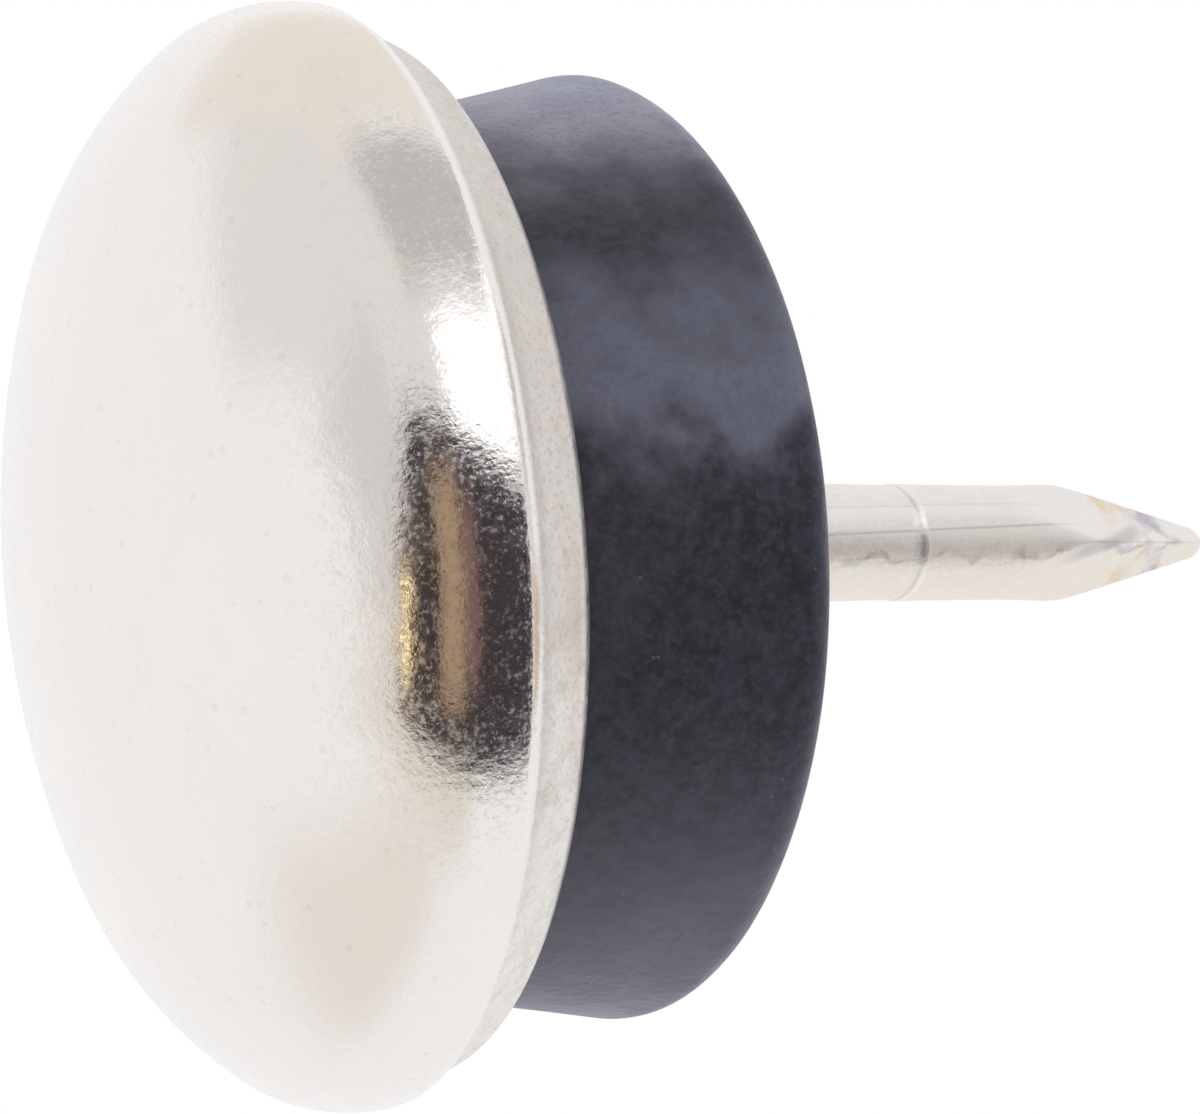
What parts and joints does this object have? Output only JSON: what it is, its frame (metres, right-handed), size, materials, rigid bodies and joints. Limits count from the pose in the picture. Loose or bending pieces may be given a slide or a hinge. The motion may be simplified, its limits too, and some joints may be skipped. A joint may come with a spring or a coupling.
{
  "type": "nail-on furniture glide",
  "caption": "Nail-on furniture glide: domed nickel-plated steel cap rolled over a rubber cushion, with a central nail that drives up into a furniture leg.",
  "frame": {"origin": "lowest point of the cap's crown, on the nail's axis", "axes": "+Z along the nail, from the crown to the nail's point"},
  "size_m": [0.025, 0.025, 0.0359],
  "materials": {
    "nickel_plate": "bright nickel plating with a fine orange-peel grain",
    "cushion_rubber": "matt moulded rubber, dark slate grey, lightly dusted",
    "washer_steel": "plain zinc-plated steel",
    "nail_steel": "satin nickel-plated wire with faint drawing lines"
  },
  "bodies": {
    "root": {"glide_cap": "nickel_plate", "rubber_cushion": "cushion_rubber", "steel_washer": "washer_steel", "nail": "nail_steel"}
  },
  "joints": []
}
